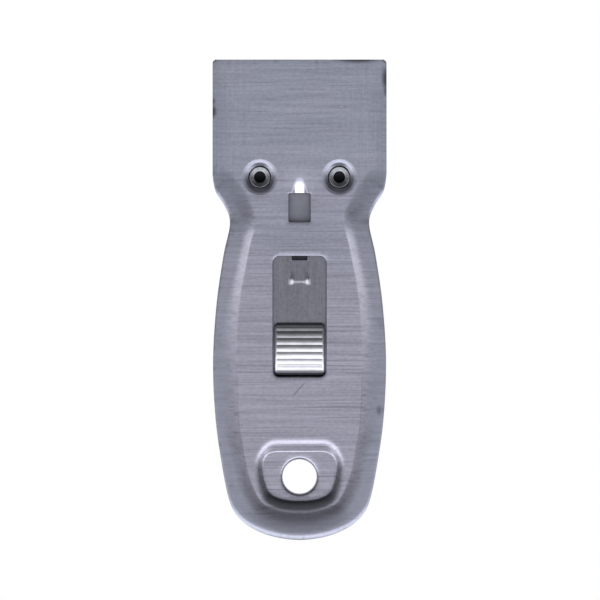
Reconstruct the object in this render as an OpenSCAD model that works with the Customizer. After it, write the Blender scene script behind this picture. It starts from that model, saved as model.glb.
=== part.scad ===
// Razor blade scraper with a retractable single-edge blade.
// It lies on its back: +Z is the front face, +Y runs to the blade mouth.
// It is drawn with the blade drawn back and the thumb button pressed in.

/* [Blade] */
// Length of the blade along its edge
blade_length = 38.1; // [30:0.1:50]
// Height of the blade from the back of its spine to its edge
blade_height = 19.05; // [17:0.05:22]
// Thickness of the blade steel
blade_thickness = 0.23; // [0.15:0.01:0.35]
// Height of the folded spine
spine_height = 5; // [4:0.1:6]
// Thickness of the folded spine
spine_thickness = 1.1; // [0.9:0.05:1.3]
// How far the drawn-back edge lies inside the mouth
blade_inset = 3.5; // [3:0.1:6]

/* [Shells] */
// Length of the handle with its head
body_length = 114.3; // [105:0.1:130]
// Thickness of the pressed sheet
sheet = 0.8; // [0.6:0.05:1]
// Clear space between the two shells
inner_gap = 2.5; // [2.4:0.05:3.5]
// Height of the grip rim above the middle panel
rim_rise = 0.8; // [0.4:0.05:1.2]
// Width of the slope between the middle panel and the rim
rim_slope = 3.2; // [2:0.1:3.4]
// Outside radius of the bend at the shell's edge
bend_radius = 1.2; // [1.1:0.05:1.5]
// Corner radius of the head at the mouth
mouth_corner = 0.9; // [0.5:0.05:1.5]
// Room between each end of the blade and the head's wall
blade_side_gap = 0.85; // [0.5:0.05:1.5]

/* [Rivets] */
// Distance between the two rivets
rivet_spacing = 18.9; // [17:0.1:20]
// Room between the blade's spine and the dishes of the rivets
rivet_room = 0.7; // [0.4:0.05:2]
// Radius of a rivet's shank
shank_radius = 1.6; // [1.5:0.05:2]
// Radius of the rivet head
rivet_head_radius = 2.3; // [2.1:0.05:2.5]
// Radius of the clinched ring at the rivet's other end
clinch_radius = 2.5; // [2.2:0.05:2.6]
// Radius of the dish round a rivet, at its mouth
dish_radius = 4.7; // [4.5:0.05:4.8]
// Room between the clinched ring and the wall of its dish
dish_room = 0.2; // [0.15:0.05:0.3]

/* [Slot and latch] */
// Travel of the blade
travel = 15.7; // [15:0.1:17]
// Distance from the rivets to the front end of the slot
slot_from_rivets = 18.8; // [18:0.05:20]
// Width of the thumb slot
slot_width = 12.7; // [10:0.1:14]
// Corner radius of the slot
slot_corner = 1.5; // [0.8:0.1:2]
// Length of the latch tongue
tongue_length = 5.5; // [4.5:0.1:6]
// Width of the latch tongue
tongue_width = 4.7; // [4:0.1:5]
// Height of the tongue above the carrier
tongue_raise = 0.5; // [0.4:0.02:0.55]
// Play of the tongue at each end of the latch window
latch_play = 0.7; // [0.4:0.05:1]
// Width of the latch window
window_width = 5.2; // [5:0.1:5.6]
// Width of the stop lip at the window
lip_width = 2.9; // [2.4:0.1:3.2]
// Width of the stop lip where it bends out of the sheet
lip_tip_width = 1.9; // [1.4:0.1:2.2]
// Length of the stop lip
lip_length = 3.7; // [3:0.1:4]
// How far the stop lip is bent in
lip_drop = 1.2; // [0.8:0.05:1.4]

/* [Carrier] */
// Thickness of the carrier's spring steel
carrier_thickness = 0.6; // [0.58:0.01:0.65]
// Width of the plate behind the slot
plate_width = 17; // [16:0.1:18]
// Width of the lanced hole in front of the tongue
lance_width = 3.5; // [3.2:0.1:4]

/* [Thumb button] */
// Length of the button
button_length = 12.9; // [12:0.1:14]
// Height of the button above the carrier
button_rise = 2.6; // [2.2:0.05:3]
// Wall of the pressed button
button_wall = 0.6; // [0.4:0.05:0.7]
// Spacing of the grooves
groove_pitch = 1.65; // [1.4:0.05:1.7]
// Depth of a groove
groove_depth = 0.2; // [0.1:0.05:0.35]

/* [Hang hole] */
// Radius of the hang hole
hang_radius = 4.05; // [3:0.05:4.5]
// Distance from the tail to the middle of the hang hole
hang_from_tail = 15.05; // [14.5:0.05:16]
// Width of the hang recess at its mouth
recess_width = 22.4; // [20:0.1:23]
// Width of the flat floor of the hang recess
recess_floor_width = 17.6; // [16.5:0.1:18.5]
// Distance from the hole's middle to the front of the recess
recess_front = 9; // [8:0.05:9.5]
// Distance from the hole's middle to the back of the recess
recess_back = 8.6; // [8:0.05:9]
// Distance from the hole's middle to the front of the flat floor
recess_floor_front = 5.75; // [5.4:0.05:6.4]
// Distance from the hole's middle to the back of the flat floor
recess_floor_back = 5.8; // [5.4:0.05:6.2]

/* [Hidden] */
$fn = 48;

steel = [0.55, 0.56, 0.61];
spring_steel = [0.45, 0.45, 0.49];
bright_steel = [0.86, 0.86, 0.88];
blade_steel = [0.66, 0.68, 0.71];

// Clearances
overrun = 0.5;
rivet_fit = 0.05;
spine_fit = 0.02;
tab_fit = 0.05;
collar_fit = 0.05;
plate_gap = 0.1;
press_gap = 0.15;
tray_gap = 0.2;
spine_gap = 0.12;
joggle_gap = 0.3;
button_gap = 0.12;

// Levels from the rest face up
back_panel_z = rim_rise;
back_inner_z = back_panel_z + sheet;
seam_z = back_inner_z + inner_gap / 2;
front_inner_z = back_inner_z + inner_gap;
front_panel_z = front_inner_z + sheet;
front_floor_z = seam_z + sheet;
back_floor_z = seam_z - sheet;

// Plan places of the shells
head_half = blade_length / 2 + blade_side_gap + sheet;
mouth_y = body_length / 2;
rivet_x = rivet_spacing / 2;
rivet_from_mouth = blade_inset + blade_height + rivet_room + dish_radius;
rivet_y = mouth_y - rivet_from_mouth;
hang_y = hang_from_tail - mouth_y;
inner_radius = bend_radius - sheet;

// Right edge of the shell from the mouth to the tail. Each row has the share of the head's half width,
// the share of the body's length back from the mouth, and the share of the rim's rise there.
edge_shares = [
    [1, 0, 0], [1, 0.2, 0], [1, 0.238, 0], [0.963, 0.275, 0.2], [0.855, 0.307, 0.4], [0.8, 0.342, 0.75],
    [0.875, 0.409, 1], [0.954, 0.509, 1], [0.994, 0.626, 1], [0.968, 0.742, 1], [0.894, 0.842, 1],
    [0.805, 0.919, 1], [0.7, 0.953, 1], [0.54, 0.976, 1], [0.3, 0.993, 1], [0, 1, 1]];

// Edge of the middle panel beside it. Each row has the same two shares and the share of the slope's width.
panel_shares = [
    [0.85, 0.02, 0.5], [0.85, 0.19, 0.5], [0.83, 0.222, 0.7], [0.74, 0.246, 1], [0.61, 0.282, 1],
    [0.508, 0.334, 1], [0.55, 0.398, 1], [0.655, 0.5, 1], [0.714, 0.61, 1], [0.693, 0.745, 1],
    [0.645, 0.81, 1], [0.585, 0.865, 1], [0.49, 0.907, 1], [0.4, 0.926, 1], [0.2, 0.94, 1], [0, 0.943, 1]];
straight_rows = 2;
curve_steps = 3;

// Side view of a pressed slope from its foot to its crest, in shares of its run and of its height
slope_shares = [[0, 0], [0.2, 0.17], [0.4, 0.5], [0.7, 0.875], [1, 1]];
recess_wall_shares = [[0, 0], [0.08, 0.08], [0.3, 0.47], [0.55, 0.78], [0.8, 0.955], [1, 1]];

// Right half of the hang recess from its front to its back, in shares of its half width and of its length
recess_shares = [
    [0.58, 0], [0.8, 0.03], [0.94, 0.12], [1, 0.28], [0.97, 0.5], [0.91, 0.68],
    [0.8, 0.85], [0.55, 0.95], [0.28, 0.99], [0, 1]];
recess_steps = 2;

// Blade and spine places
blade_edge_y = mouth_y - blade_inset;
spine_back_y = blade_edge_y - blade_height;
spine_front_y = spine_back_y + spine_height;
tray_bottom_z = back_inner_z + tray_gap;
tray_top_z = tray_bottom_z + carrier_thickness;
blade_z = tray_top_z + spine_gap + spine_thickness / 2;
spine_length = blade_length - spine_thickness;
spine_pocket = blade_thickness + 2 * spine_fit;
blade_back_y = spine_back_y + spine_thickness / 2;
grind_width = 2.2;
edge_thickness = 0.04;
notch_depth = 1.2;
notch_width = 2;
notch_gap = 0.15;
notch_y = spine_front_y + notch_gap + notch_width / 2;

// Latch places, with the carrier up in its latched position
slot_front_y = rivet_y - slot_from_rivets;
slot_length = travel + button_length + 2 * button_gap;
slot_back_y = slot_front_y - slot_length;
tongue_inset = 1.4;
tongue_front_y = slot_front_y - tongue_inset;
tongue_back_y = tongue_front_y - tongue_length;
window_front_y = tongue_front_y + travel + latch_play;
window_back_y = tongue_back_y + travel - latch_play;
window_corner = 0.4;

// Carrier places
plate_top_z = front_inner_z - plate_gap;
plate_bottom_z = plate_top_z - carrier_thickness;
plate_overlap = 1.2;
plate_back_y = slot_back_y - plate_overlap;
plate_corner = 1.5;
neck_half = rivet_x - dish_radius;
gate_half = window_width / 2 + joggle_gap;
lance_length = 2;
gate_back_y = tongue_front_y + lance_length;
joggle_run = 1.2;
joggle_front_y = spine_back_y - joggle_gap;
joggle_back_y = joggle_front_y - joggle_run;
joggle_drop = plate_top_z - tray_top_z;
joggle_shift = carrier_thickness * tan(atan(joggle_drop / joggle_run) / 2);
gate_front_y = joggle_back_y - 2 * carrier_thickness;
lug_width = notch_width - 2 * joggle_gap;
tray_half = blade_length / 2 - notch_gap;
tray_front_y = notch_y + lug_width / 2;
tray_corner = 0.5;
lug_top_z = blade_z + carrier_thickness / 2;

// The carrier rocks about the spine's middle line when the button is pressed
hinge_y = spine_back_y + spine_height / 2;
hinge_z = blade_z;
press_angle = asin((tongue_raise - plate_gap + press_gap) / (hinge_y - tongue_front_y));

// Button places
button_back_y = slot_back_y + button_gap;
button_half = slot_width / 2 - button_gap;
button_back_rise_share = 0.73;
button_back_rise = button_rise * button_back_rise_share;
button_back_run = 1.9;
button_front_run = 1.3;
button_corner = 1.8;
button_crest_share = 0.612;
button_crest = button_length * button_crest_share;
first_groove = 2.7;
groove_room = button_length - first_groove - button_front_run - groove_pitch / 4;
groove_count = 1 + floor(groove_room / groove_pitch);
tab_width = 4;
tab_thickness = 0.6;

// Rivet places
rivet_head_rise = 0.75;
clinch_rise = 0.5;
clinch_roll = 0.2;
clinch_funnel = 0.15;
bore_mouth_radius = 1.3;
bore_radius = 1.2;
bore_floor = 0.2;
bore_tip = 0.3;
dish_floor_radius = clinch_radius + dish_room;

// Wall of a rivet's dish: shares of its width from floor to mouth and of its height
dish_wall_shares = [[0, 0], [0.06, 0.3], [0.16, 0.6], [0.27, 0.74], [0.45, 0.83], [0.7, 0.94], [1, 1]];

// Hang hole places
collar_wall = 0.55;

// A smooth curve through a list of rows. The last row lies on the middle line, and the curve is level there.
function mirrored(row) = [for (i = [0 : len(row) - 1]) i == 0 ? -row[0] : row[i]];
function with_ends(rows) = concat([2 * rows[0] - rows[1]], rows, [mirrored(rows[len(rows) - 2])]);
function blended(a, b, c, d, t) =
    b + (t * (c - a) + t * t * (2 * a - 5 * b + 4 * c - d) + t * t * t * (3 * b - a - 3 * c + d)) / 2;
function smooth(rows, straight, steps) =
    let (r = with_ends(rows), last = len(rows) - 1)
    concat(
        [for (i = [0 : last - 1])
            let (n = i < straight ? 1 : steps)
            for (k = [0 : n - 1]) blended(r[i], r[i + 1], r[i + 2], r[i + 3], k / n)],
        [rows[last]]);

// Right-hand plan points moved inwards, square to their own line, by one distance or by a list of them
function inward(p, i) =
    let (
        last = len(p) - 1,
        before = i == 0 ? 2 * p[0] - p[1] : p[i - 1],
        after = i == last ? [-p[i - 1].x, p[i - 1].y] : p[i + 1],
        along = after - before)
    [along.y, -along.x] / norm(along);
function inset(p, d) = [for (i = [0 : len(p) - 1]) p[i] + (is_list(d) ? d[i] : d) * inward(p, i)];

// A closed ring from its right-hand points and their heights
function ring(p, z) =
    let (last = len(p) - 1, h = is_list(z) ? z : [for (q = p) z])
    concat(
        [for (i = [0 : last]) [p[i].x, p[i].y, h[i]]],
        [for (i = [last - 1 : -1 : 0]) [-p[i].x, p[i].y, h[i]]]);

// A solid through rings that lie one above the other
module loft(rings) {
    n = len(rings[0]);
    half = (n - 1) / 2;
    top = (len(rings) - 1) * n;
    sides = [
        for (k = [0 : len(rings) - 2], j = [0 : n - 1])
            let (a = k * n + j, b = k * n + (j + 1) % n)
            each [[a, b, b + n], [a, b + n, a + n]]];
    lids = [
        for (j = [0 : half - 1])
            let (a = j, b = j + 1, c = n - 2 - j, d = n - 1 - j)
            each concat(
                [[d, b, a], [top + a, top + b, top + d]],
                b == c ? [] : [[d, c, b], [top + b, top + c, top + d]])];
    polyhedron([for (r = rings) each r], concat(sides, lids), convexity = 10);
}

// Points of an outline with its corners rounded, one radius for each corner
corner_steps = 5;
function rounded(points, radii) = [
    for (i = [0 : len(points) - 1])
        let (
            n = len(points),
            p = points[i],
            back = points[(i + n - 1) % n] - p,
            ahead = points[(i + 1) % n] - p,
            a = p + radii[i] * back / norm(back),
            b = p + radii[i] * ahead / norm(ahead))
        each radii[i] == 0 ? [p] : [
            for (k = [0 : corner_steps])
                let (t = k / corner_steps) (1 - t) * (1 - t) * a + 2 * t * (1 - t) * p + t * t * b]];
function box_points(half, back_y, front_y) =
    [[half, back_y], [half, front_y], [-half, front_y], [-half, back_y]];

// A side profile, drawn as points [y, z], given its width across the part
module across(width) {
    rotate([90, 0, 90]) linear_extrude(width, center = true) children();
}

// An upright prism between two heights
module upright(points, low, high) {
    translate([0, 0, low]) linear_extrude(high - low) polygon(points);
}

// The back shell's forms are the front shell's, turned over about the seam
module turned_over() {
    translate([0, 0, 2 * seam_z]) mirror([0, 0, 1]) children();
}

function plan(row) = [row.x * head_half, mouth_y - row.y * body_length];
function clamped(share) = min(max(share, 0), 1);
edge_rows = smooth(edge_shares, straight_rows, curve_steps);
panel_rows = smooth(panel_shares, straight_rows, curve_steps);
edge_plan = [for (row = edge_rows) plan(row)];
panel_plan = [for (row = panel_rows) plan(row)];
slope_line = inset(panel_plan, [for (row = panel_rows) -rim_slope * row.z]);
slope_plan = [for (p = slope_line) p == slope_line[0] ? [p.x, (p.y + mouth_y) / 2] : p];
edge_top = [for (row = edge_rows) front_panel_z + rim_rise * clamped(row.z)];
bend_share = 1 - cos(45);
function between(a, b, share) = (1 - share) * a + share * b;
function slope_top(share) = [for (z = edge_top) front_panel_z + (z - front_panel_z) * share];

function ahead_of_mouth(p) = [for (i = [0 : len(p) - 1]) i == 0 ? p[i] + [0, overrun] : p[i]];
function lowered(z, d) = [for (h = z) h - d];

// Outside skin of a shell as a solid block
module skin_block() {
    loft([
        ring(edge_plan, seam_z),
        ring(edge_plan, lowered(edge_top, bend_radius)),
        ring(inset(edge_plan, bend_share * bend_radius), lowered(edge_top, bend_share * bend_radius)),
        ring(inset(edge_plan, bend_radius), edge_top),
        each [for (i = [len(slope_shares) - 1 : -1 : 0])
            ring(between(panel_plan, slope_plan, slope_shares[i].x), slope_top(slope_shares[i].y))]]);
}

// Inside of a shell, open at the seam and at the mouth
module hollow_block() {
    wall_plan = ahead_of_mouth(inset(edge_plan, sheet));
    bend_plan = ahead_of_mouth(inset(edge_plan, sheet + bend_share * inner_radius));
    loft([
        ring(wall_plan, seam_z - overrun),
        ring(wall_plan, lowered(edge_top, bend_radius)),
        ring(bend_plan, lowered(edge_top, sheet + bend_share * inner_radius)),
        ring(ahead_of_mouth(inset(edge_plan, bend_radius)), lowered(edge_top, sheet)),
        each [for (i = [len(slope_shares) - 1 : -1 : 0])
            ring(ahead_of_mouth(between(panel_plan, slope_plan, slope_shares[i].x)),
                 lowered(slope_top(slope_shares[i].y), sheet))]]);
}

// Cutter for the rounded corner of the head at the mouth
module corner_cut() {
    turn = 90 / corner_steps;
    centre = [head_half - mouth_corner, mouth_y - mouth_corner];
    arc = [for (k = [0 : corner_steps]) centre + mouth_corner * [sin(k * turn), cos(k * turn)]];
    outside = [
        [head_half + overrun, centre.y],
        [head_half + overrun, mouth_y + overrun],
        [centre.x, mouth_y + overrun]];
    upright(concat(arc, outside), seam_z - overrun, front_panel_z + overrun);
}

function recess_plan(width, front, back) = [
    for (row = smooth(recess_shares, 0, recess_steps))
        [row.x * width / 2, hang_y + front - row.y * (front + back)]];
recess_mouth = recess_plan(recess_width, recess_front, recess_back);
recess_floor = recess_plan(recess_floor_width, recess_floor_front, recess_floor_back);
recess_depth = front_panel_z - front_floor_z;
recess_spare = sheet / 4;

// Metal and air of the hang recess
module recess_metal() {
    loft([
        for (row = recess_wall_shares)
            let (wall_plan = between(recess_floor, recess_mouth, row.x))
            ring(inset(wall_plan, -recess_spare), seam_z + recess_depth * row.y),
        ring(inset(recess_mouth, -recess_spare), front_inner_z + sheet / 2)]);
}
module recess_air() {
    loft([
        for (row = recess_wall_shares)
            ring(between(recess_floor, recess_mouth, row.x), front_floor_z + recess_depth * row.y),
        ring(recess_mouth, front_panel_z + overrun)]);
}

// Side view of a dish, turned about its axis: a steep wall round the floor and a shallow flare above it
module dish_form(floor_radius, floor_z, edge_z, top_z) {
    wall = [for (share = dish_wall_shares)
        [floor_radius + share.x * (dish_radius - floor_radius), floor_z + share.y * (edge_z - floor_z)]];
    rotate_extrude() polygon(concat([[0, top_z], [0, floor_z]], wall, [[dish_radius, top_z]]));
}

// Metal and air of a rivet's dish
module dish_metal() {
    dish_form(dish_floor_radius + sheet, seam_z, front_inner_z, front_inner_z + sheet / 2);
}
module dish_air() {
    dish_form(dish_floor_radius, front_floor_z, front_panel_z, front_panel_z + overrun);
    translate([0, 0, seam_z - overrun]) cylinder(r = shank_radius + rivet_fit, h = sheet + 2 * overrun);
}

// What both shells share: a pressed half with its dishes and hang recess
module pressed_half() {
    difference() {
        union() {
            difference() {
                skin_block();
                hollow_block();
                for (side = [0, 1]) mirror([side, 0, 0]) corner_cut();
            }
            for (side = [-1, 1]) translate([side * rivet_x, rivet_y, 0]) dish_metal();
            recess_metal();
        }
        for (side = [-1, 1]) translate([side * rivet_x, rivet_y, 0]) dish_air();
        recess_air();
    }
}

// Stop lip bent in at the front of the latch window, and the air above it. The lip widens to the window.
lip_top = [[window_front_y + lip_length, front_panel_z], [window_front_y, front_panel_z - lip_drop]];
module lip_plan() {
    corners = [
        [lip_tip_width / 2, window_front_y + lip_length], [lip_width / 2, window_front_y],
        [lip_width / 2, window_front_y - overrun]];
    other_side = [for (i = [len(corners) - 1 : -1 : 0]) [-corners[i].x, corners[i].y]];
    upright(concat(corners, other_side), seam_z, front_panel_z + overrun);
}
module stop_lip() {
    intersection() {
        across(lip_width) polygon(concat(lip_top, [for (i = [1, 0]) lip_top[i] - [0, sheet]]));
        lip_plan();
    }
}
module lip_air() {
    above = [[window_front_y - overrun, lip_top[1].y], [window_front_y - overrun, front_panel_z + overrun]];
    intersection() {
        across(lip_width) polygon(concat(lip_top, above, [[lip_top[0].x, front_panel_z + overrun]]));
        lip_plan();
    }
}

// Drawn collar of the hang hole, turned down through the back shell, with its rounded mouth
module collar_metal() {
    height = front_floor_z - back_floor_z - sheet / 2;
    translate([0, hang_y, back_floor_z]) cylinder(r = hang_radius + collar_wall, h = height);
}
module collar_air() {
    turn = 90 / corner_steps;
    rim = hang_radius + collar_wall;
    bottom_z = back_floor_z - overrun;
    mouth = [for (k = [0 : corner_steps])
        [rim - collar_wall * cos(k * turn), front_floor_z - collar_wall * (1 - sin(k * turn))]];
    top_z = front_floor_z + overrun;
    walls = [[rim, top_z], [0, top_z], [0, bottom_z], [hang_radius, bottom_z]];
    translate([0, hang_y, 0]) rotate_extrude() polygon(concat(walls, mouth));
}

module front_shell() {
    slot = rounded(box_points(slot_width / 2, slot_back_y, slot_front_y), [for (i = [0 : 3]) slot_corner]);
    window_box = box_points(window_width / 2, window_back_y, window_front_y);
    window = rounded(window_box, [window_corner, 0, 0, window_corner]);
    color(steel) difference() {
        union() {
            pressed_half();
            stop_lip();
            collar_metal();
        }
        upright(slot, seam_z, front_panel_z + overrun);
        upright(window, seam_z, front_panel_z + overrun);
        lip_air();
        collar_air();
    }
}

module back_shell() {
    color(steel) difference() {
        turned_over() pressed_half();
        translate([0, hang_y, back_floor_z - overrun])
            cylinder(r = hang_radius + collar_wall + collar_fit, h = sheet + 2 * overrun);
    }
}

// Semi-tubular rivet: domed head at the back, and at the front a clinched ring that falls like a funnel
// to the blind bore
module rivet(side) {
    turn = 15;
    roll_z = front_floor_z + clinch_rise - clinch_roll;
    head = [for (a = [0 : turn : 90]) [rivet_head_radius * sin(a), back_floor_z - rivet_head_rise * cos(a)]];
    shank = [[shank_radius, back_floor_z], [shank_radius, front_floor_z]];
    clinch = concat(
        [[clinch_radius, front_floor_z]],
        [for (a = [0 : turn : 90])
            [clinch_radius - clinch_roll * (1 - cos(a)), roll_z + clinch_roll * sin(a)]],
        [for (a = [0 : turn : 90])
            [bore_mouth_radius + clinch_roll * (1 - sin(a)), roll_z - clinch_funnel + clinch_roll * cos(a)]]);
    bore = [[bore_radius, seam_z], [bore_radius, seam_z - bore_floor], [0, seam_z - bore_floor - bore_tip]];
    color(bright_steel) translate([side * rivet_x, rivet_y, 0])
        rotate_extrude() polygon(concat(head, shank, clinch, bore));
}
module left_rivet() { rivet(-1); }
module right_rivet() { rivet(1); }

// Places a piece of the carrier as it is with the button pressed in
module pressed_in() {
    hinge = [0, hinge_y, hinge_z];
    translate(hinge) rotate([press_angle, 0, 0]) translate(-hinge) children();
}

// One bent strip from the plate behind the slot, down behind the spine, to the tray under the blade
module carrier_strip() {
    top = [[plate_back_y, plate_top_z], [joggle_back_y, plate_top_z],
           [joggle_front_y, tray_top_z], [tray_front_y, tray_top_z]];
    bottom = [[tray_front_y, tray_bottom_z], [joggle_front_y - joggle_shift, tray_bottom_z],
              [joggle_back_y - joggle_shift, plate_bottom_z], [plate_back_y, plate_bottom_z]];
    half_plan = [
        [plate_width / 2, plate_back_y, plate_corner], [plate_width / 2, tongue_front_y, plate_corner],
        [neck_half, tongue_front_y + plate_corner, plate_corner], [neck_half, joggle_front_y, 0],
        [tray_half, joggle_front_y, tray_corner], [tray_half, tray_front_y, tray_corner]];
    other_half = [for (i = [len(half_plan) - 1 : -1 : 0]) [-half_plan[i].x, half_plan[i].y, half_plan[i].z]];
    corners = concat(half_plan, other_half);
    outline = rounded([for (c = corners) [c.x, c.y]], [for (c = corners) c.z]);
    intersection() {
        across(2 * tray_half + overrun) polygon(concat(top, bottom));
        upright(outline, back_inner_z, front_panel_z);
    }
}

// Latch tongue: the strip half sheared upwards, free at its front end
module tongue() {
    across(tongue_width) polygon([
        [tongue_back_y - tongue_raise, plate_bottom_z + tongue_raise / 2],
        [tongue_back_y - tongue_raise, plate_top_z],
        [tongue_back_y, plate_top_z + tongue_raise],
        [tongue_front_y, plate_top_z + tongue_raise],
        [tongue_front_y, plate_bottom_z + tongue_raise],
        [tongue_back_y, plate_bottom_z + tongue_raise]]);
}

// Lug turned up from the tray's end into the blade's notch
module lug() {
    translate([tray_half - carrier_thickness, notch_y - lug_width / 2, tray_bottom_z])
        cube([carrier_thickness, lug_width, lug_top_z - tray_bottom_z]);
}

// Tabs of the button, and with a fit the holes that they are staked in
module tabs(fit) {
    below = fit > 0 ? overrun : 0;
    height = below + carrier_thickness + button_wall / 2;
    for (y = [button_back_y + button_back_run, button_back_y + button_length - button_front_run])
        translate([-tab_width / 2 - fit, y - tab_thickness / 2 - fit, plate_bottom_z - below])
            cube([tab_width + 2 * fit, tab_thickness + 2 * fit, height]);
}

module blade_carrier() {
    lance = box_points(lance_width / 2, tongue_front_y, gate_back_y + overrun);
    gate = rounded(box_points(gate_half, gate_back_y, gate_front_y), [for (i = [0 : 3]) carrier_thickness]);
    under_tongue = box_points(tongue_width / 2, tongue_back_y, tongue_front_y);
    color(spring_steel) pressed_in() {
        difference() {
            union() {
                carrier_strip();
                tongue();
            }
            upright(under_tongue, plate_bottom_z - overrun, plate_bottom_z + tongue_raise);
            upright(lance, plate_bottom_z - overrun, plate_top_z + overrun);
            upright(gate, plate_bottom_z - overrun, plate_top_z + overrun);
            tabs(tab_fit);
        }
        for (side = [0, 1]) mirror([side, 0, 0]) lug();
    }
}

// Height of the button's crowned top at a distance from its back end
crown_drop = button_rise - button_back_rise;
function crown(u) = button_rise - crown_drop * pow((u - button_crest) / (button_crest - button_back_run), 2);
function groove(u) = groove_depth * (1 - abs(sin(180 * (u - first_groove) / groove_pitch)));

module button_cap() {
    turn = 15;
    groove_shares = [-0.5, -0.25, -0.1, 0, 0.1, 0.25];
    front_u = button_length - button_front_run;
    back_end = [for (a = [0 : turn : 90])
        [button_back_run * (1 - cos(a)), button_back_rise * sin(a)]];
    ribs = [for (k = [0 : groove_count - 1], share = groove_shares)
        let (u = first_groove + (k + share) * groove_pitch) [u, crown(u) - groove(u)]];
    front_end = [for (a = [90 : -turn : 0])
        [front_u + button_front_run * cos(a), crown(front_u) * sin(a)]];
    across(2 * button_half) polygon(concat(back_end, ribs, front_end));
}
module button_hollow() {
    floor_z = -overrun;
    inside_length = button_length - button_back_run - button_front_run;
    roof = [for (k = [0 : groove_count])
        let (u = button_back_run + k * inside_length / groove_count)
        [u, crown(u) - button_wall - groove_depth]];
    across(2 * (button_half - button_wall))
        polygon(concat([[button_back_run, floor_z]], roof, [[button_length - button_front_run, floor_z]]));
}

module thumb_button() {
    outline = rounded(box_points(button_half, 0, button_length), [for (i = [0 : 3]) button_corner]);
    color(bright_steel) pressed_in() {
        translate([0, button_back_y, plate_top_z]) difference() {
            intersection() {
                button_cap();
                upright(outline, -overrun, button_rise + overrun);
            }
            button_hollow();
        }
        tabs(0);
    }
}

module razor_blade() {
    ground_y = blade_edge_y - grind_width;
    face = [
        [blade_edge_y, edge_thickness / 2],
        [ground_y, blade_thickness / 2],
        [blade_back_y, blade_thickness / 2]];
    profile = concat(face, [for (i = [2 : -1 : 0]) [face[i].x, -face[i].y]]);
    color(blade_steel) translate([0, 0, blade_z]) difference() {
        across(blade_length) polygon(profile);
        for (side = [-1, 1]) translate([side * blade_length / 2, notch_y, 0])
            cube([2 * notch_depth, notch_width, 2 * spine_thickness], center = true);
    }
}

// Folded strip closed on the back of the blade
module blade_spine() {
    turn = 15;
    radius = spine_thickness / 2;
    fold = [for (a = [90 : turn : 270]) [spine_back_y + radius + radius * cos(a), radius * sin(a)]];
    pocket = [
        [spine_front_y, -spine_pocket / 2], [blade_back_y - spine_fit, -spine_pocket / 2],
        [blade_back_y - spine_fit, spine_pocket / 2], [spine_front_y, spine_pocket / 2]];
    profile = concat([[spine_front_y, radius]], fold, [[spine_front_y, -radius]], pocket);
    color(bright_steel) translate([0, 0, blade_z]) across(spine_length) polygon(profile);
}

front_shell();
back_shell();
left_rivet();
right_rivet();
blade_carrier();
thumb_button();
razor_blade();
blade_spine();
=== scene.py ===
import math
from functools import partial

import bmesh
import bpy
import numpy as np
from mathutils import Matrix, Vector
from mathutils.geometry import delaunay_2d_cdt


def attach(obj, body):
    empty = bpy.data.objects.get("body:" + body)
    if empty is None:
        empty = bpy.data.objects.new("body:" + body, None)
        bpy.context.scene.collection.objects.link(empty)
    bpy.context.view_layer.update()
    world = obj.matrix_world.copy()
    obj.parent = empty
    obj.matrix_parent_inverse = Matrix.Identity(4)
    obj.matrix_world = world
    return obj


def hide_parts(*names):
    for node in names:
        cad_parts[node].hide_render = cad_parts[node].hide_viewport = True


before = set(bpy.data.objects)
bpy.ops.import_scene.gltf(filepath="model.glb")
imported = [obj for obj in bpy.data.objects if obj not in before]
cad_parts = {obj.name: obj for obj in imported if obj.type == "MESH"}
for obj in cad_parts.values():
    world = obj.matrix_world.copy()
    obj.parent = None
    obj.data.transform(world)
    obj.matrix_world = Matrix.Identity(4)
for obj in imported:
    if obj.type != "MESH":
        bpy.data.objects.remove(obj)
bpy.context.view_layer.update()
mm = 0.001
print("frame loaded")

# Pressed handle, in mm. Heights are those of the front half's outer skin.
handle = {
    "headHalf": 20.7, "length": 114.3, "mouth": 57.15, "cornerRadius": 0.9,
    "sheet": 0.79, "seam": 2.85, "seamGap": 0.03, "panel": 4.9, "pressDepth": 1.25,
    "rimRise": 0.8, "rimSlope": 3.2, "rimFoot": 0.08, "rimCrest": 0.6, "tailTilt": 0.6, "tailReach": 4.6,
    "sideBend": 0.5, "tailBend": 1.3, "bendPower": 1.5, "innerBend": 0.15, "cornerTurn": 0.97,
    "mouthRoll": 0.4, "mouthDrop": 0.02, "grimeReach": 2.5,
}

# Edge of the handle from the mouth to the tail, in shares of the head's half width, the length and the rise
edgeShares = [
    [1, 0, 0], [1, 0.2, 0], [1, 0.238, 0], [0.963, 0.275, 0.27], [0.855, 0.307, 0.52],
    [0.8, 0.342, 0.76], [0.875, 0.409, 1], [0.954, 0.509, 1], [0.994, 0.626, 1], [0.968, 0.742, 1],
    [0.894, 0.842, 1], [0.805, 0.919, 1], [0.7, 0.953, 1], [0.54, 0.976, 1], [0.3, 0.993, 1], [0, 1, 1],
]

# Edge of the middle panel beside it: the same two shares, then the share of the slope's width
panelShares = [
    [0.85, 0.02, 1], [0.85, 0.19, 1], [0.83, 0.222, 1], [0.74, 0.246, 1.3], [0.61, 0.282, 1.5],
    [0.508, 0.334, 1], [0.58, 0.398, 0.75], [0.68, 0.5, 0.9], [0.714, 0.61, 1.3], [0.693, 0.745, 1.3],
    [0.645, 0.81, 1.1], [0.585, 0.865, 1], [0.49, 0.907, 1], [0.4, 0.926, 1], [0.2, 0.94, 1], [0, 0.943, 1],
]

# Bend at the handle's edge: share of the bend's radius outwards, share of it downwards
bendShares = [[0.2, 0.012], [0.4, 0.05], [0.6, 0.11], [0.8, 0.185], [0.93, 0.24], [1, 0.275]]

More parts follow.
